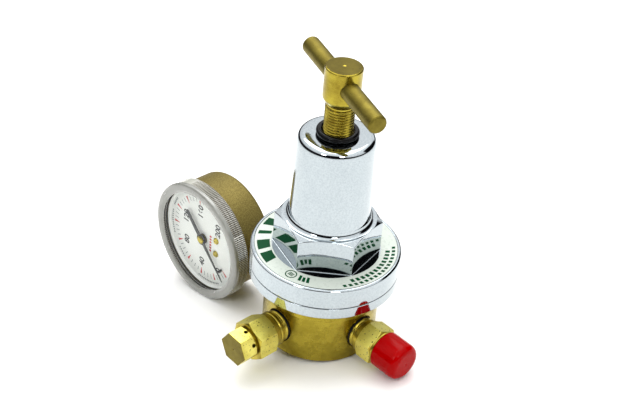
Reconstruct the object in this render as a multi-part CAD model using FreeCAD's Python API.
"""Single-stage gas pressure regulator with a T-handle screw, gauge, relief valve and capped outlet.

Millimetres. Z is the regulator's own axis, up through the bonnet. The origin is the centre of the
body's flat underside. The outlet leaves along +X, the inlet port opens along +Y, the gauge stands
on a stem along -X and faces -Y, and the relief valve leaves along -Y.
"""
import FreeCAD
import Part
import math
import os

os.makedirs("parts", exist_ok=True)
V = FreeCAD.Vector

# ---------------------------------------------------------------- driving dimensions
RUN_GAP = 0.08            # radial clearance of a running fit
THREAD_GAP = 0.05         # radial clearance of a made-up thread, drawn as plain cylinders

BODY_R = 25.6
BODY_CHAMFER = 0.8
LEDGE_Z = 24.6            # the body's collar starts here
LEDGE_R = 27.6
HEAD_R = 28.3             # threaded head of the body, inside the bonnet
BODY_TOP = 40.6
CHAMBER_R = 21.0          # outlet-pressure chamber under the diaphragm
CHAMBER_FLOOR = 36.6
VALVE_BORE_R = 6.0
VALVE_BORE_FLOOR = 8.0
PORT_Z = 13.35            # all four ports are drilled at this height
PORT_DEPTH = 12.5         # a port bottoms this far from the body's axis
NIPPLE_R = 6.8            # quarter-inch pipe thread, mean radius
INLET_R = 5.8             # tapped quarter-inch pipe port
DRILLING_R = 1.8
DRILLING_AT = 17.0

SKIRT_R = 33.0
SKIRT_BOTTOM = 31.4
SEAM_Z = 36.6
FLANGE_TOP = 46.2
FLANGE_EDGE_R = 0.9
LIP_R = 32.1
HEX_CORNER_R = 23.5
HEX_TOP = 62.2
HEX_RIM_R = 20.5          # the hexagon's corners are turned off from this radius outwards
HEX_ANGLE = -76.93        # one corner of the bonnet's hexagon, about Z from +X
BARREL_BASE_R = 17.6
BARREL_TOP_R = 16.45
BARREL_TOP = 103.2
BARREL_EDGE_R = 3.0
SPRING_CHAMBER_R = 14.2
CROWN_BOTTOM = 96.2       # underside of the bonnet's threaded crown
DOME_ROOF = 46.0          # roof of the space over the diaphragm

DIAPHRAGM_T = 1.2
SLIP_RING_T = 0.6
HUB_PLATE_Z = 39.4        # underside of the plate below the diaphragm
RIVET_R = 3.0
SEAT_PLATE_T = 1.5

NOZZLE_BOTTOM = 24.0
NOZZLE_LAND = 30.0        # the land that the valve's seat closes
ORIFICE_R = 1.6
POPPET_R = 3.9
POPPET_BOTTOM = 21.2
POPPET_TOP = 28.3
STEM_R = 0.8
STEM_TOP = 38.9
SEAT_T = 1.6
LABEL_IN_R = 23.9
LABEL_OUT_R = 31.2
LABEL_T = 0.15

SCREW_R = 6.3             # half-inch screw, 20 threads to the inch, drawn plain
SCREW_BOTTOM = 88.5
HEAD_BOTTOM = 117.9
HEAD_SHOULDER = 120.7
HEAD_R_TOP = 7.8
HEAD_TOP = 134.85
BAR_Z = 127.1
BAR_R = 4.0
BAR_HALF = 33.2
BAR_ANGLE = -20.27
BALL_R = 3.0
BUTTON_TOP = 88.0
BUTTON_BOTTOM = 82.6
SPRING_MEAN_R = 10.6
SPRING_WIRE_R = 1.7
SPRING_TURNS = 6.0

CAP_START = 40.0          # distances along each port, from the body's axis
CAP_END = 53.2
CAP_R = 8.45
CAP_EDGE_R = 4.6
CAP_WALL_END = 1.4
OUTLET_THREAD_R = 7.14    # nine-sixteenths male thread under the cap
OUTLET_END = 49.0
OUTLET_HEX = (30.4, 38.9)
OUTLET_ACROSS = 15.875    # five-eighths across flats
OUTLET_CORNER = 127.0     # angle of one corner about the port, 90 is the horizontal
RELIEF_HEX = (33.0, 43.2)
RELIEF_ACROSS = 16.8
RELIEF_CORNER = 63.0
RELIEF_CAP_ACROSS = 13.5
RELIEF_CAP_CORNER = 86.0
RELIEF_END = 51.4
RELIEF_BORE_R = 5.2
RELIEF_BORE_FLOOR = 29.0
RELIEF_SEAL_T = 1.4
RELIEF_DISC_T = 1.6
SPRING_POCKET_R = 3.6     # the relief spring's pocket inside its cap
VENTS = 6
VENT_R = 0.95
SEALANT_START = 24.5
COUNTERSINK = (8.4, 24.0, 25.8)    # its mouth radius, and where it starts and ends

GAUGE_X = -68.3
GAUGE_FACE_Y = -16.8
GAUGE_BACK = 24.4         # depth of the case's back behind the lens's front ring
LENS_R = 29.4
WINDOW_R = 24.9
WINDOW_DEPTH = 0.7
WINDOW_T = 1.5
LENS_SKIRT = 7.9
CASE_FRONT = 3.6
GASKET_T = 0.7
CASE_R = 27.4
CASE_WALL = 0.6
DIAL_DEPTH = 5.2
DIAL_R = 25.4
POINTER_DEPTH = 3.5
POINTER_TIP = 22.6
POINTER_TAIL = 15.7
ZERO_ANGLE = 45.0         # the pointer's zero, see gauge_point()
DIAL_SCREW_AT = (9.9, 22.5)
SOCKET_HALF = 6.4
SECTOR_RATIO = 10.0       # pointer degrees per sector degree
PINION_TEETH = 8
GEAR_MODULE = 0.25
SECTOR_PIVOT_X = GEAR_MODULE * PINION_TEETH * (1 + SECTOR_RATIO) / 2.0
SECTOR_TAIL = 5.2
FRONT_PLATE = (6.8, 7.6)  # depths of the movement's two plates
BACK_PLATE = (12.2, 13.0)
SECTOR_DEPTH = (9.0, 10.0)
LINK_DEPTH = (10.2, 10.7)
TUBE_R = 19.0
TUBE_DEPTH = (13.8, 19.8)
TUBE_END_ANGLE = 278.0


# ---------------------------------------------------------------- helpers
def cylinder(radius, start, end):
    """A cylinder on Z from one height to the other."""
    return Part.makeCylinder(radius, end - start, V(0, 0, start))


def tube(outer, inner, start, end):
    """A plain ring on Z."""
    return cylinder(outer, start, end).cut(cylinder(inner, start - 1, end + 1))


def turned(points):
    """A solid of revolution about Z from a closed outline of (radius, height) points."""
    outline = [V(radius, 0, height) for radius, height in points]
    face = Part.Face(Part.makePolygon(outline + outline[:1]))
    return face.revolve(V(0, 0, 0), V(0, 0, 1), 360)


def polygon_bar(corner_radius, sides, start, end, angle=0.0):
    """A prism on Z with one corner at the given angle."""
    corners = []
    for index in range(sides + 1):
        turn = math.radians(angle + 360.0 * index / sides)
        corners.append(V(corner_radius * math.cos(turn), corner_radius * math.sin(turn), start))
    face = Part.Face(Part.makePolygon(corners))
    return face.extrude(V(0, 0, end - start))


def hexagon(across_flats, start, end, angle=0.0, chamfer_low=True, chamfer_high=True):
    """A hexagonal nut blank on Z whose corners are turned off at 30 degrees."""
    corner = across_flats / math.sqrt(3.0)
    rim = across_flats / 2.0 * 1.01
    drop = (corner + 0.2 - rim) * math.tan(math.radians(30))
    low = [(0, start), (rim, start), (corner + 0.2, start + drop)]
    high = [(corner + 0.2, end - drop), (rim, end), (0, end)]
    if not chamfer_low:
        low = [(0, start), (corner + 0.2, start)]
    if not chamfer_high:
        high = [(corner + 0.2, end), (0, end)]
    return polygon_bar(corner, 6, start, end, angle).common(turned(low + high))


def at_port(shape, azimuth):
    """Turn a shape made on Z so that Z becomes the port's direction, at the ports' height."""
    placed = shape.copy()
    placed.rotate(V(0, 0, 0), V(0, 1, 0), 90)
    placed.rotate(V(0, 0, 0), V(0, 0, 1), azimuth)
    placed.translate(V(0, 0, PORT_Z))
    return placed


def at_gauge(shape):
    """Turn a shape made on Z so that Z runs back from the lens's front ring, along +Y."""
    placed = shape.copy()
    placed.rotate(V(0, 0, 0), V(1, 0, 0), -90)
    placed.translate(V(GAUGE_X, GAUGE_FACE_Y, PORT_Z))
    return placed


def gauge_point(radius, angle, depth):
    """A point of the gauge before at_gauge(): angle 0 points at the body, 90 points down."""
    turn = math.radians(angle)
    return V(radius * math.cos(turn), radius * math.sin(turn), depth)


def torus(centre_radius, section_radius, height):
    """An O-ring on Z."""
    return Part.makeTorus(centre_radius, section_radius, V(0, 0, height))


def coil(mean_radius, wire_radius, start, end, turns):
    """A compression spring on Z: a wire swept along a helix between two heights."""
    rise = end - start - 2 * wire_radius
    path = Part.makeHelix(rise / turns, rise, mean_radius)
    path.translate(V(0, 0, start + wire_radius))
    section = Part.Wire(Part.makeCircle(wire_radius, V(mean_radius, 0, start + wire_radius), V(0, 1, 0)))
    return Part.Wire(path.Edges).makePipeShell([section], True, True)


def join(shapes):
    """One solid from pieces that overlap."""
    return shapes[0].multiFuse(shapes[1:]).removeSplitter()


def save(shape, node):
    """Write one node, and print what it is."""
    shape.exportStep(os.path.join("parts", node + ".step"))
    print(node, len(shape.Solids), "solid,", round(shape.Volume), "mm3, valid", shape.isValid())


# ---------------------------------------------------------------- body and valve
def regulator_body():
    """Forged brass body, turned outside, with four ports, a valve bore and a chamber on top."""
    solid = turned([
        (0, 0), (BODY_R - BODY_CHAMFER, 0), (BODY_R, BODY_CHAMFER), (BODY_R, LEDGE_Z),
        (LEDGE_R - 0.5, LEDGE_Z), (LEDGE_R, LEDGE_Z + 0.5), (LEDGE_R, SKIRT_BOTTOM),
        (HEAD_R, SKIRT_BOTTOM), (HEAD_R, BODY_TOP), (0, BODY_TOP)])
    cuts = [cylinder(CHAMBER_R, CHAMBER_FLOOR, BODY_TOP + 1)]
    cuts.append(cylinder(VALVE_BORE_R, VALVE_BORE_FLOOR, BODY_TOP))
    for azimuth in (0, 180, -90):
        cuts.append(at_port(cylinder(NIPPLE_R + THREAD_GAP, PORT_DEPTH, BODY_R + 2), azimuth))
        drilling = cylinder(DRILLING_R, PORT_Z, BODY_TOP)
        turn = math.radians(azimuth)
        drilling.translate(V(DRILLING_AT * math.cos(turn), DRILLING_AT * math.sin(turn), 0))
        cuts.append(drilling)
        mouth_r, deep, shallow = COUNTERSINK
        sink = Part.makeCone(NIPPLE_R + THREAD_GAP, mouth_r, shallow - deep, V(0, 0, deep))
        cuts.append(at_port(sink, azimuth))
    cuts.append(at_port(cylinder(INLET_R, PORT_DEPTH, BODY_R + 2), 90))
    cuts.append(at_port(cylinder(2.0, 4.0, PORT_DEPTH + 1), 90))
    for cut in cuts:
        solid = solid.cut(cut)
    return solid


def lock_ring():
    """Chromed ring below the seam of the bonnet's skirt, on the body's thread."""
    edge = 0.35
    return turned([
        (HEAD_R + THREAD_GAP, SKIRT_BOTTOM), (SKIRT_R - edge, SKIRT_BOTTOM),
        (SKIRT_R, SKIRT_BOTTOM + edge), (SKIRT_R, SEAM_Z - 0.25), (SKIRT_R - 0.2, SEAM_Z),
        (HEAD_R + THREAD_GAP, SEAM_Z)])


def valve_nozzle():
    """Brass nozzle screwed into the valve bore; the seat closes its lower land."""
    solid = cylinder(VALVE_BORE_R - THREAD_GAP, NOZZLE_BOTTOM, CHAMBER_FLOOR - 0.4)
    solid = solid.cut(cylinder(ORIFICE_R, NOZZLE_BOTTOM - 1, CHAMBER_FLOOR))
    return solid.cut(cylinder(POPPET_R + 0.4, NOZZLE_BOTTOM - 1, NOZZLE_LAND))


def valve_poppet():
    """Brass poppet: guide, shoulder and the thin stem that the diaphragm pushes."""
    return turned([
        (0, POPPET_BOTTOM - 1), (1.8, POPPET_BOTTOM - 1), (1.8, POPPET_BOTTOM),
        (POPPET_R, POPPET_BOTTOM), (POPPET_R, POPPET_TOP), (STEM_R, POPPET_TOP),
        (STEM_R, STEM_TOP), (0, STEM_TOP)])


def diaphragm_hub():
    """Plate under the diaphragm with the rivet that passes up through it."""
    return turned([
        (0, HUB_PLATE_Z - 0.4), (RIVET_R, HUB_PLATE_Z - 0.4), (RIVET_R, HUB_PLATE_Z),
        (12.0, HUB_PLATE_Z), (12.0, BODY_TOP), (RIVET_R, BODY_TOP),
        (RIVET_R, BODY_TOP + 5.2), (0, BODY_TOP + 5.2)])


def spring_seat():
    """Upper diaphragm plate, a pressed dish that centres the main spring."""
    low = BODY_TOP + DIAPHRAGM_T
    return turned([
        (RIVET_R, low), (16.0, low), (16.0, low + SEAT_PLATE_T), (8.5, low + SEAT_PLATE_T),
        (8.5, low + 3.4), (RIVET_R, low + 3.4)])


def diaphragm_and_ring():
    """The rubber diaphragm and the slip ring that the bonnet clamps it with."""
    rubber = tube(HEAD_R - 0.3, RIVET_R, BODY_TOP, BODY_TOP + DIAPHRAGM_T)
    ring_low = BODY_TOP + DIAPHRAGM_T
    ring = tube(HEAD_R - 0.3, CHAMBER_R, ring_low, ring_low + SLIP_RING_T)
    return rubber, ring


def save_body_group():
    """Everything below the bonnet, apart from the fittings."""
    save(regulator_body(), "regulator_body")
    save(lock_ring(), "lock_ring")
    save(valve_nozzle(), "valve_nozzle")
    save(valve_poppet(), "valve_poppet")
    save(tube(POPPET_R - 0.3, STEM_R, POPPET_TOP, POPPET_TOP + SEAT_T), "valve_seat")
    save(coil(2.6, 0.35, VALVE_BORE_FLOOR, POPPET_BOTTOM - 0.1, 6), "valve_spring")
    save(tube(5.7, 4.6, VALVE_BORE_FLOOR, NOZZLE_BOTTOM - 0.1), "inlet_filter")
    save(diaphragm_hub(), "diaphragm_hub")
    save(spring_seat(), "spring_seat")
    rubber, ring = diaphragm_and_ring()
    save(rubber, "diaphragm")
    save(ring, "slip_ring")


# ---------------------------------------------------------------- bonnet and its screw
def bonnet():
    """Chromed die-cast bonnet: flange and skirt, wrench hexagon and tapered spring barrel."""
    lip = 0.3
    flange = turned([
        (0, SEAM_Z + 0.3), (SKIRT_R - 0.2, SEAM_Z + 0.3), (SKIRT_R, SEAM_Z + 0.5),
        (SKIRT_R, FLANGE_TOP - FLANGE_EDGE_R), (SKIRT_R - 0.27, FLANGE_TOP - 0.27),
        (LIP_R, FLANGE_TOP + lip), (LIP_R - 0.6, FLANGE_TOP + lip), (LIP_R - 0.8, FLANGE_TOP),
        (0, FLANGE_TOP)])
    hex_drop = (HEX_CORNER_R - HEX_RIM_R) * math.tan(math.radians(30))
    hex_block = polygon_bar(HEX_CORNER_R, 6, FLANGE_TOP - 2, HEX_TOP, HEX_ANGLE)
    hex_block = hex_block.common(turned([
        (0, FLANGE_TOP - 2), (HEX_CORNER_R + 1, FLANGE_TOP - 2),
        (HEX_CORNER_R + 1, HEX_TOP - hex_drop * 4 / 3), (HEX_RIM_R, HEX_TOP), (0, HEX_TOP)]))
    barrel = Part.makeCone(BARREL_BASE_R, BARREL_TOP_R, BARREL_TOP - HEX_TOP + 2, V(0, 0, HEX_TOP - 2))
    top_edges = [edge for edge in barrel.Edges if edge.BoundBox.ZMin > BARREL_TOP - 0.01]
    barrel = barrel.makeFillet(BARREL_EDGE_R, top_edges)
    solid = join([flange, hex_block, barrel])
    clamp_z = BODY_TOP + DIAPHRAGM_T + SLIP_RING_T
    for radius, low, high in (
            (HEAD_R + THREAD_GAP, SEAM_Z - 1, clamp_z), (CHAMBER_R, SEAM_Z, DOME_ROOF),
            (SPRING_CHAMBER_R, SEAM_Z, CROWN_BOTTOM), (SCREW_R + RUN_GAP, SEAM_Z, BARREL_TOP + 1)):
        solid = solid.cut(cylinder(radius, low, high))
    return solid


def adjusting_screw():
    """Brass screw with a drilled head; its tip is dished for the thrust ball."""
    solid = turned([
        (0, SCREW_BOTTOM), (SCREW_R - 0.8, SCREW_BOTTOM), (SCREW_R, SCREW_BOTTOM + 0.8),
        (SCREW_R, HEAD_BOTTOM), (HEAD_R_TOP, HEAD_SHOULDER), (HEAD_R_TOP, HEAD_TOP - 0.4),
        (HEAD_R_TOP - 0.4, HEAD_TOP), (0, HEAD_TOP)])
    solid = solid.cut(Part.makeSphere(BALL_R + RUN_GAP, V(0, 0, BUTTON_TOP)))
    hole = cylinder(BAR_R + 0.12, -HEAD_R_TOP - 1, HEAD_R_TOP + 1)
    return solid.cut(along_bar(hole))


def along_bar(shape):
    """Lay a shape made on Z along the T-bar."""
    placed = shape.copy()
    placed.rotate(V(0, 0, 0), V(0, 1, 0), 90)
    placed.rotate(V(0, 0, 0), V(0, 0, 1), BAR_ANGLE)
    placed.translate(V(0, 0, BAR_Z))
    return placed


def t_bar():
    """Plain brass bar with chamfered ends."""
    edge = 0.7
    return along_bar(turned([
        (0, -BAR_HALF), (BAR_R - edge, -BAR_HALF), (BAR_R, -BAR_HALF + edge),
        (BAR_R, BAR_HALF - edge), (BAR_R - edge, BAR_HALF), (0, BAR_HALF)]))


def spring_button():
    """Steel button on the main spring, with a dish for the thrust ball."""
    solid = turned([
        (0, BUTTON_BOTTOM - 1.6), (8.5, BUTTON_BOTTOM - 1.6), (8.5, BUTTON_BOTTOM),
        (13.6, BUTTON_BOTTOM), (13.6, BUTTON_TOP - 2.0), (11.0, BUTTON_TOP), (0, BUTTON_TOP)])
    return solid.cut(Part.makeSphere(BALL_R, V(0, 0, BUTTON_TOP)))


def save_bonnet_group():
    """The bonnet, what it holds and the handle."""
    save(bonnet(), "bonnet")
    save(tube(LABEL_OUT_R, LABEL_IN_R, FLANGE_TOP, FLANGE_TOP + LABEL_T), "label_ring")
    o_ring_section = 1.34
    o_ring_centre = SCREW_R + RUN_GAP + o_ring_section
    save(torus(o_ring_centre, o_ring_section, BARREL_TOP + o_ring_section), "screw_o_ring")
    save(adjusting_screw(), "adjusting_screw")
    save(t_bar(), "t_bar")
    save(Part.makeSphere(BALL_R, V(0, 0, BUTTON_TOP)), "thrust_ball")
    save(spring_button(), "spring_button")
    seat_top = BODY_TOP + DIAPHRAGM_T + SEAT_PLATE_T
    save(coil(SPRING_MEAN_R, SPRING_WIRE_R, seat_top, BUTTON_BOTTOM, SPRING_TURNS), "main_spring")


# ---------------------------------------------------------------- fittings
def outlet_fitting():
    """Brass outlet: pipe nipple, collar, hexagon and male thread, bored through."""
    hex_low, hex_high = OUTLET_HEX
    blank = hexagon(OUTLET_ACROSS, hex_low, hex_high, OUTLET_CORNER)
    washer_face = hex_high + 0.7
    shank = turned([
        (0, PORT_DEPTH + 0.5), (NIPPLE_R - 0.8, PORT_DEPTH + 0.5), (NIPPLE_R, PORT_DEPTH + 1.3),
        (NIPPLE_R, 27.8), (7.7, 28.0), (7.7, hex_low + 0.5), (7.9, hex_low + 0.5),
        (7.9, washer_face), (OUTLET_THREAD_R, washer_face), (OUTLET_THREAD_R, OUTLET_END - 0.8),
        (OUTLET_THREAD_R - 0.8, OUTLET_END), (0, OUTLET_END)])
    solid = join([blank, shank])
    solid = solid.cut(cylinder(2.6, PORT_DEPTH, OUTLET_END + 1))
    seat = Part.makeCone(2.6, 4.6, 3.5, V(0, 0, OUTLET_END - 3.5))
    return solid.cut(seat)


def outlet_cap():
    """Red vinyl dust cap, a thin cup with a rounded end."""
    inner = OUTLET_THREAD_R + RUN_GAP
    outside = turned([
        (0, CAP_START), (CAP_R - 0.2, CAP_START), (CAP_R, CAP_START + 0.2),
        (CAP_R, CAP_END), (0, CAP_END)])
    outside = round_far_edge(outside, CAP_END, CAP_EDGE_R)
    inside = cylinder(inner, CAP_START - 5, CAP_END - CAP_WALL_END)
    inside = round_far_edge(inside, CAP_END - CAP_WALL_END, CAP_EDGE_R - CAP_WALL_END)
    return outside.cut(inside)


def round_far_edge(shape, height, radius):
    """Fillet the circular edge at the given height."""
    rims = [edge for edge in shape.Edges if edge.BoundBox.ZMin > height - 0.01]
    return shape.makeFillet(radius, rims)


def relief_body():
    """Brass relief valve body: nipple, collar, large hexagon and a seat for the disc."""
    hex_low, hex_high = RELIEF_HEX
    blank = hexagon(RELIEF_ACROSS, hex_low, hex_high, RELIEF_CORNER)
    shank = turned([
        (0, PORT_DEPTH + 0.5), (NIPPLE_R - 0.8, PORT_DEPTH + 0.5), (NIPPLE_R, PORT_DEPTH + 1.3),
        (NIPPLE_R, 28.0), (7.8, 28.2), (7.8, hex_low + 0.5), (0, hex_low + 0.5)])
    solid = join([blank, shank])
    solid = solid.cut(cylinder(2.0, PORT_DEPTH, RELIEF_BORE_FLOOR + 1))
    return solid.cut(cylinder(RELIEF_BORE_R, RELIEF_BORE_FLOOR, hex_high + 1))


def relief_cap():
    """Smaller hexagonal cap screwed into the relief body, with vent holes at its base."""
    base = RELIEF_HEX[1]
    blank = hexagon(RELIEF_CAP_ACROSS, base + 0.7, RELIEF_END, RELIEF_CAP_CORNER, chamfer_high=False)
    neck = cylinder(5.9, base, base + 1.0)
    plug = cylinder(RELIEF_BORE_R - THREAD_GAP, base - 3.0, base + 1.0)
    solid = join([blank, neck, plug])
    solid = solid.cut(cylinder(SPRING_POCKET_R, base - 4.0, RELIEF_END - 1.6))
    for index in range(VENTS):
        vent = Part.makeCylinder(VENT_R, 10, V(0, 0, base + 1.9), V(1, 0, 0))
        vent.rotate(V(0, 0, 0), V(0, 0, 1), RELIEF_CAP_CORNER + 30 + 360.0 / VENTS * index)
        solid = solid.cut(vent)
    return solid


def sealant_ring():
    """Thin bead of dark thread sealant squeezed out where a nipple enters the body."""
    start = SEALANT_START
    inner = NIPPLE_R + 0.02
    return turned([
        (inner, start), (inner + 0.4, start + 0.4), (inner + 0.75, start + 1.4),
        (inner + 0.5, start + 1.9), (inner, start + 1.9)])


def save_fittings():
    """Outlet, relief valve and their caps."""
    save(at_port(outlet_fitting(), 0), "outlet_fitting")
    save(at_port(outlet_cap(), 0), "outlet_cap")
    save(at_port(relief_body(), -90), "relief_body")
    save(at_port(relief_cap(), -90), "relief_cap")
    disc_low = RELIEF_BORE_FLOOR + RELIEF_SEAL_T
    disc_high = disc_low + RELIEF_DISC_T
    disc = turned([
        (0, disc_low), (4.6, disc_low), (4.6, disc_high), (1.4, disc_high),
        (1.4, disc_high + 4.4), (0, disc_high + 4.4)])
    save(at_port(disc, -90), "relief_disc")
    save(at_port(cylinder(3.2, RELIEF_BORE_FLOOR, disc_low), -90), "relief_seal")
    save(at_port(coil(2.5, 0.4, disc_high, RELIEF_END - 1.6, 8), -90), "relief_spring")
    for azimuth, node in ((0, "outlet_sealant"), (-90, "relief_sealant"), (180, "gauge_sealant")):
        save(at_port(sealant_ring(), azimuth), node)


# ---------------------------------------------------------------- gauge
def gauge_lens():
    """Clear polycarbonate twist-on lens: rounded front ring, recessed window and skirt."""
    window_back = WINDOW_DEPTH + WINDOW_T
    bore = CASE_R + RUN_GAP
    throat = WINDOW_R + 0.8
    shoulder = CASE_FRONT - GASKET_T
    return at_gauge(turned([
        (0, WINDOW_DEPTH), (WINDOW_R - 0.3, WINDOW_DEPTH), (WINDOW_R + 0.2, 0.3),
        (WINDOW_R + 0.9, 0.0), (LENS_R - 1.5, 0.0), (LENS_R - 0.45, 0.45), (LENS_R, 1.5),
        (LENS_R, LENS_SKIRT), (bore, LENS_SKIRT), (bore, shoulder), (throat, shoulder),
        (throat, window_back), (0, window_back)]))


def gauge_case():
    """Drawn steel case, a cup with a rounded back edge and an opening for the socket."""
    edge = 2.4
    outside = round_far_edge(cylinder(CASE_R, CASE_FRONT, GAUGE_BACK), GAUGE_BACK, edge)
    floor = GAUGE_BACK - CASE_WALL
    inside = round_far_edge(cylinder(CASE_R - CASE_WALL, CASE_FRONT - 1, floor), floor, edge - CASE_WALL)
    return at_gauge(outside.cut(inside)).cut(socket_block(THREAD_GAP))


def socket_block(extra=0.0):
    """The square part of the socket, from outside the case to inside it."""
    half = SOCKET_HALF + extra
    return at_port(polygon_bar(half * math.sqrt(2.0), 4, 31.4, -GAUGE_X - 21.0, 45), 180)


def gauge_socket():
    """Brass socket: pipe nipple, square wrench block and the tube holder inside the case."""
    nipple = at_port(turned([
        (0, PORT_DEPTH + 0.5), (NIPPLE_R - 0.8, PORT_DEPTH + 0.5), (NIPPLE_R, PORT_DEPTH + 1.3),
        (NIPPLE_R, 29.5), (6.0, 31.5), (0, 31.5)]), 180)
    holder_length = 16.5
    holder = Part.makeBox(holder_length, 6.0, 9.0, V(GAUGE_X + 6.2, BACK_PLATE[1] + GAUGE_FACE_Y, PORT_Z - 4.5))
    solid = join([nipple, socket_block(), holder])
    return solid.cut(at_port(cylinder(2.0, PORT_DEPTH, -GAUGE_X - 16.0), 180))


def gauge_dial():
    """White enamelled dial with a hole for the pointer's shaft."""
    return at_gauge(tube(DIAL_R, 2.4, DIAL_DEPTH, DIAL_DEPTH + 0.5))


def dial_screws():
    """Two slotted screws in one group."""
    radius, spread = DIAL_SCREW_AT
    screws = []
    for angle in (spread, -spread):
        head = turned([
            (0, DIAL_DEPTH - 0.8), (1.2, DIAL_DEPTH - 0.8), (1.7, DIAL_DEPTH - 0.3),
            (1.7, DIAL_DEPTH), (0, DIAL_DEPTH)])
        head = head.cut(Part.makeBox(4, 0.4, 0.4, V(-2, -0.2, DIAL_DEPTH - 0.85)))
        head.translate(gauge_point(radius, angle, 0))
        screws.append(at_gauge(head))
    return Part.makeCompound(screws)


def stop_pin():
    """Pin in the dial that the pointer rests against at zero."""
    pin = cylinder(0.6, POINTER_DEPTH - 0.5, DIAL_DEPTH)
    pin.translate(gauge_point(17.4, ZERO_ANGLE - 6.5, 0))
    return at_gauge(pin)


def pointer_blade():
    """Black pointer: long taper to the tip, round boss and a broad tail."""
    low = POINTER_DEPTH
    outline = [
        V(POINTER_TIP, -0.15, low), V(0, -1.15, low), V(-POINTER_TAIL + 0.6, -1.1, low),
        V(-POINTER_TAIL, -0.5, low), V(-POINTER_TAIL, 0.5, low), V(-POINTER_TAIL + 0.6, 1.1, low),
        V(0, 1.15, low), V(POINTER_TIP, 0.15, low)]
    blade = Part.Face(Part.makePolygon(outline + outline[:1])).extrude(V(0, 0, 0.35))
    boss = cylinder(2.7, low - 0.2, low + 0.8)
    solid = join([blade, boss]).cut(cylinder(0.5, low - 1, low + 1))
    solid.rotate(V(0, 0, 0), V(0, 0, 1), ZERO_ANGLE)
    return at_gauge(solid)


def pointer_hub():
    """Small brass cap pressed on the pointer's boss."""
    high = POINTER_DEPTH - 0.2
    return at_gauge(turned([
        (0, high - 0.75), (1.4, high - 0.75), (2.0, high - 0.4), (2.0, high), (0, high)]))


def gear_teeth(pitch_radius, teeth, first, last, depths, shift=0.0):
    """Straight-sided teeth, from tooth number first to tooth number last of a full round."""
    low, high = depths
    root = pitch_radius - 1.15 * GEAR_MODULE - 0.1
    top = pitch_radius + 0.8 * GEAR_MODULE
    corners = [V(root, -0.19, low), V(top, -0.08, low), V(top, 0.08, low), V(root, 0.19, low)]
    blank = Part.Face(Part.makePolygon(corners + corners[:1])).extrude(V(0, 0, high - low))
    pieces = []
    for index in range(first, last + 1):
        tooth = blank.copy()
        tooth.rotate(V(0, 0, 0), V(0, 0, 1), 360.0 * index / teeth + shift)
        pieces.append(tooth)
    return pieces


def pinion():
    """Arbor with its pinion; it carries the pointer."""
    pitch = GEAR_MODULE * PINION_TEETH / 2.0
    depths = (SECTOR_DEPTH[0] - 0.3, SECTOR_DEPTH[1] + 0.3)
    shaft = cylinder(0.5, POINTER_DEPTH - 0.2, BACK_PLATE[1] + 0.4)
    hub = cylinder(pitch - 1.15 * GEAR_MODULE, depths[0], depths[1])
    return at_gauge(join([shaft, hub] + gear_teeth(pitch, PINION_TEETH, 0, PINION_TEETH - 1, depths)))


def sector_gear():
    """Toothed sector with its tail; it turns the pinion."""
    round_teeth = int(PINION_TEETH * SECTOR_RATIO)
    pitch = GEAR_MODULE * round_teeth / 2.0
    low, high = SECTOR_DEPTH
    root = pitch - 1.15 * GEAR_MODULE
    wedge = [V(0, 0, low), V(14, -2.6, low), V(14, 10.2, low)]
    wedge_solid = Part.Face(Part.makePolygon(wedge + wedge[:1])).extrude(V(0, 0, high - low))
    rim = tube(root, root - 1.6, low, high).common(wedge_solid)
    spoke = Part.makeBox(root - 0.6, 1.6, high - low, V(0, 0, low))
    tail = Part.makeBox(SECTOR_TAIL + 1.2, 1.6, high - low, V(-SECTOR_TAIL - 1.2, -0.8, low))
    boss = cylinder(1.7, low, high)
    teeth = gear_teeth(pitch, round_teeth, -2, 7, SECTOR_DEPTH, 180.0 / round_teeth)
    solid = join([rim, spoke, tail, boss] + teeth)
    solid = solid.cut(cylinder(0.55, low - 1, high + 1))
    solid.rotate(V(0, 0, 0), V(0, 0, 1), 180)
    solid.translate(V(SECTOR_PIVOT_X, 0, 0))
    pin = Part.makeCylinder(0.4, LINK_DEPTH[1] - low, V(SECTOR_PIVOT_X + SECTOR_TAIL, 0, low))
    return at_gauge(join([solid, pin]))


def movement_link():
    """Thin link from the sector's tail to the tip of the tube."""
    low, high = LINK_DEPTH
    start = V(SECTOR_PIVOT_X + SECTOR_TAIL, 0, low)
    end = V(4.2, -16.6, low)
    run = end - start
    strip = Part.makeBox(run.Length, 1.4, high - low, V(0, -0.7, low))
    eye = cylinder(1.1, low, high)
    far_eye = cylinder(1.1, low, high)
    far_eye.translate(V(run.Length, 0, 0))
    solid = join([strip, eye, far_eye]).cut(cylinder(0.46, low - 1, high + 1))
    solid.rotate(V(0, 0, 0), V(0, 0, 1), math.degrees(math.atan2(run.y, run.x)))
    solid.translate(V(start.x, start.y, 0))
    return at_gauge(solid)


def movement_plates():
    """Front and back plates of the movement, drilled for the two arbors."""
    plates = []
    for low, high in (FRONT_PLATE, BACK_PLATE):
        plate = Part.makeBox(17.5, 10.0, high - low, V(-3.0, -5.0, low))
        plate = plate.cut(cylinder(0.6, low - 1, high + 1))
        arbor_hole = Part.makeCylinder(0.52, 4, V(SECTOR_PIVOT_X, 0, low - 1))
        plates.append(at_gauge(plate.cut(arbor_hole)))
    return plates


def movement_posts():
    """Two posts between the plates, under the dial's screws, in one group."""
    radius, spread = DIAL_SCREW_AT
    posts = []
    for angle in (spread, -spread):
        for low, high in ((DIAL_DEPTH + 0.5, FRONT_PLATE[0]), (FRONT_PLATE[1], BACK_PLATE[0])):
            post = cylinder(0.9, low, high)
            post.translate(gauge_point(radius, angle, 0))
            posts.append(at_gauge(post))
    return Part.makeCompound(posts)


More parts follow.
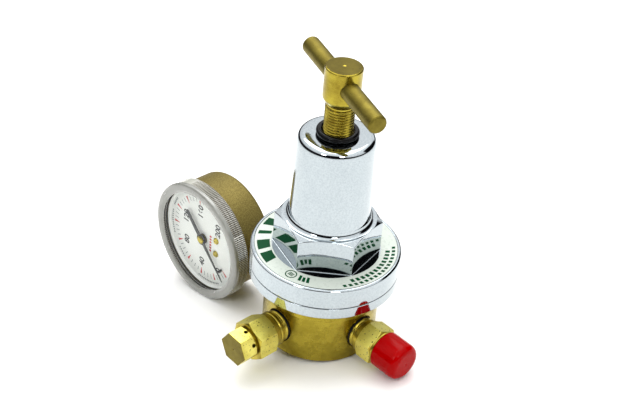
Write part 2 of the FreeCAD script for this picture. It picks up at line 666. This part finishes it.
def bourdon_tube():
    """Flattened C-shaped tube from the holder round to its tip."""
    low, high = TUBE_DEPTH
    ring = tube(TUBE_R + 1.1, TUBE_R - 1.1, low, high).cut(tube(TUBE_R + 0.8, TUBE_R - 0.8, low + 0.3, high - 0.3))
    start = 8.0
    keep = pie_slice(start, TUBE_END_ANGLE, TUBE_R + 3, low - 1, high + 1)
    return at_gauge(ring.common(keep)).cut(gauge_socket())


def pie_slice(start, end, radius, low, high):
    """A wedge of a round bar between two angles."""
    wedge = Part.makeCylinder(radius, high - low, V(0, 0, low), V(0, 0, 1), end - start)
    wedge.rotate(V(0, 0, 0), V(0, 0, 1), start)
    return wedge


def tube_tip():
    """Brass plug that closes the tube, with a lug towards the link."""
    low, high = TUBE_DEPTH
    block = tube(TUBE_R + 1.1, TUBE_R - 1.1, low, high)
    block = block.common(pie_slice(TUBE_END_ANGLE, TUBE_END_ANGLE + 7, TUBE_R + 3, low, high))
    lug = Part.makeBox(2.0, 2.0, low - LINK_DEPTH[1] - 0.3, V(3.2, -18.9, LINK_DEPTH[1] + 0.3))
    return at_gauge(join([block, lug]))


def hairspring():
    """Flat spiral round the pinion's arbor, made of half turns about two centres."""
    low = SECTOR_DEPTH[1] + 0.9
    high = low + 0.5
    step = 0.25
    first_radius = 0.9
    halves = []
    for index in range(9):
        radius = first_radius + step * index
        half = tube(radius + 0.06, radius - 0.06, low, high)
        turn = 180.0 * (index % 2)
        half = half.common(pie_slice(turn, turn + 180, 9, low, high))
        half.translate(V(step * (index % 2), 0, 0))
        halves.append(half)
    collet = tube(first_radius, 0.5, low, high)
    outer_end = first_radius + step * 8
    anchor = Part.makeBox(1.0, 0.6, BACK_PLATE[0] - low, V(-outer_end - 0.5, -0.3, low))
    return at_gauge(join(halves + [collet, anchor]))


def save_gauge():
    """The pressure gauge, from its lens to its movement."""
    save(gauge_lens(), "gauge_lens")
    save(gauge_case(), "gauge_case")
    save(gauge_socket(), "gauge_socket")
    save(at_gauge(tube(CASE_R - 0.1, WINDOW_R + 0.9, CASE_FRONT - GASKET_T, CASE_FRONT)), "lens_gasket")
    save(gauge_dial(), "gauge_dial")
    save(dial_screws(), "dial_screws")
    save(stop_pin(), "stop_pin")
    save(pointer_blade(), "pointer")
    save(pointer_hub(), "pointer_hub")
    save(pinion(), "pinion")
    save(sector_gear(), "sector_gear")
    save(movement_link(), "movement_link")
    plates = movement_plates()
    save(plates[0], "movement_front_plate")
    save(plates[1], "movement_back_plate")
    save(movement_posts(), "movement_posts")
    arbor = Part.makeCylinder(0.5, BACK_PLATE[1] - FRONT_PLATE[0], V(SECTOR_PIVOT_X, 0, FRONT_PLATE[0]))
    save(at_gauge(arbor), "sector_arbor")
    save(bourdon_tube(), "bourdon_tube")
    save(tube_tip(), "tube_tip")
    save(hairspring(), "hairspring")


save_body_group()
save_bonnet_group()
save_fittings()
save_gauge()
